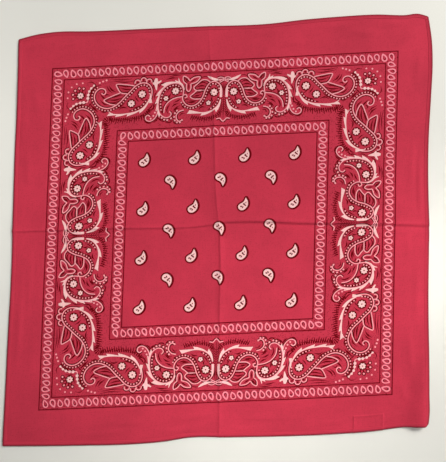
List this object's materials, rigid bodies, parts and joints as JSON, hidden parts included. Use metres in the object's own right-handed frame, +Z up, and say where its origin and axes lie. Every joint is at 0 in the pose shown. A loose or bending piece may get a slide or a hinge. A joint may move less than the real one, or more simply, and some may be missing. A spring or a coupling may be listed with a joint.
{
  "type": "bandana",
  "caption": "Square cotton bandana laid flat, with a bordered paisley print, narrow turned hems, pressed fold lines and a ribbon label underneath.",
  "frame": {"origin": "middle of the cloth's bounding box, on the surface that it lies on", "axes": "+Z up from the printed face; +X runs to the right with the label at the front right; +Y points to the back edge. The cloth is pulled off the square: its weft lies 2.7 degrees above +X and its warp 1.7 degrees off +Y"},
  "size_m": [0.5688, 0.5726, 0.004],
  "materials": {
    "printed_cotton": "plain-weave cotton dyed crimson rose and printed in off-white and dark maroon",
    "turned_cotton": "the same cotton turned under twice and stitched with matching thread",
    "ribbon": "blank off-white woven ribbon"
  },
  "bodies": {
    "root": {"panel": "printed_cotton", "hem_front": "turned_cotton", "hem_back": "turned_cotton", "hem_left": "turned_cotton", "hem_right": "turned_cotton", "label": "ribbon"}
  },
  "joints": []
}
